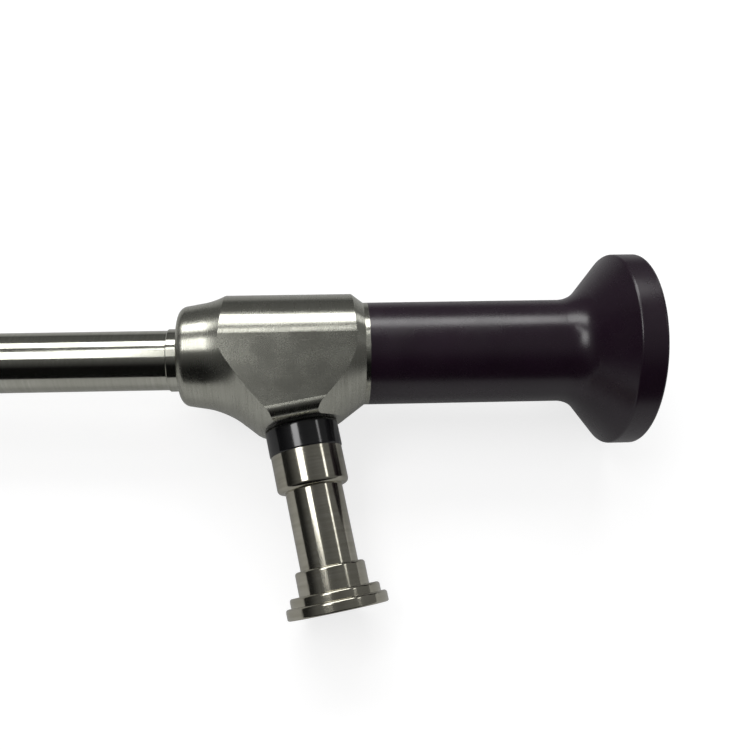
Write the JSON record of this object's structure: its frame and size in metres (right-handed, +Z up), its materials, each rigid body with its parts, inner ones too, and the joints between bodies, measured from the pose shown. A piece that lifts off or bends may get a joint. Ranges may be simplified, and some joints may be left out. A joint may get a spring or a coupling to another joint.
{
  "type": "rigid endoscope",
  "caption": "Rigid rod-lens endoscope with a straight steel shaft, a milled body, a stepped light post at a slight lean and a plastic eyepiece that flares into a round eyecup.",
  "frame": {"origin": "centre of the eyecup's round rim, on the optical axis, halfway along the rim", "axes": "+X towards the eye along the shaft's run over the table, +Z straight up from the table that it lies on, -Y towards the side where the light post lies"},
  "size_m": [0.3887, 0.0599, 0.032],
  "materials": {
    "black_aluminium": "black anodised",
    "body_steel": "satin turned stainless steel, brushed crosswise on the two milled flats",
    "bush_brass": "turned",
    "eyepiece_plastic": "dark aubergine plastic, eggshell",
    "fibre_glass": "packed and polished glass fibres",
    "inner_steel": "turned",
    "insulator_plastic": "black plastic, glossy",
    "optical_glass": "polished optical glass",
    "post_steel": "polished stainless steel",
    "seal_rubber": "black rubber",
    "shaft_steel": "finely ground stainless steel tube"
  },
  "bodies": {
    "root": {"centring_bush": "bush_brass", "eyecup_window": "optical_glass", "eyecup_window_ring": "inner_steel", "eyepiece_carrier": "inner_steel", "eyepiece_seal": "seal_rubber", "eyepiece_shell": "eyepiece_plastic", "fibre_bundle": "fibre_glass", "field_stop": "black_aluminium", "insulating_ring": "insulator_plastic", "light_guide_ferrule": "inner_steel", "light_guide_rod": "fibre_glass", "light_post": "post_steel", "main_body": "body_steel", "objective_front_lens": "optical_glass", "objective_rear_lens": "optical_glass", "objective_spacer": "black_aluminium", "ocular_barrel": "black_aluminium", "ocular_front_lens": "optical_glass", "ocular_rear_lens": "optical_glass", "ocular_retainer": "black_aluminium", "ocular_spacer": "black_aluminium", "optic_tube": "inner_steel", "outer_tube": "shaft_steel", "post_adapter": "post_steel", "post_collar": "post_steel", "post_seal": "seal_rubber", "post_stud": "inner_steel", "rod_lens_1": "optical_glass", "rod_lens_2": "optical_glass", "rod_lens_3": "optical_glass", "rod_lens_4": "optical_glass", "rod_lens_5": "optical_glass", "rod_lens_6": "optical_glass", "rod_spacer_1": "black_aluminium", "rod_spacer_2": "black_aluminium", "rod_spacer_3": "black_aluminium", "rod_spacer_4": "black_aluminium", "rod_spacer_5": "black_aluminium", "rod_spacer_6": "black_aluminium", "shaft_ferrule": "shaft_steel", "tip_window": "optical_glass", "window_frame": "inner_steel"}
  },
  "joints": []
}
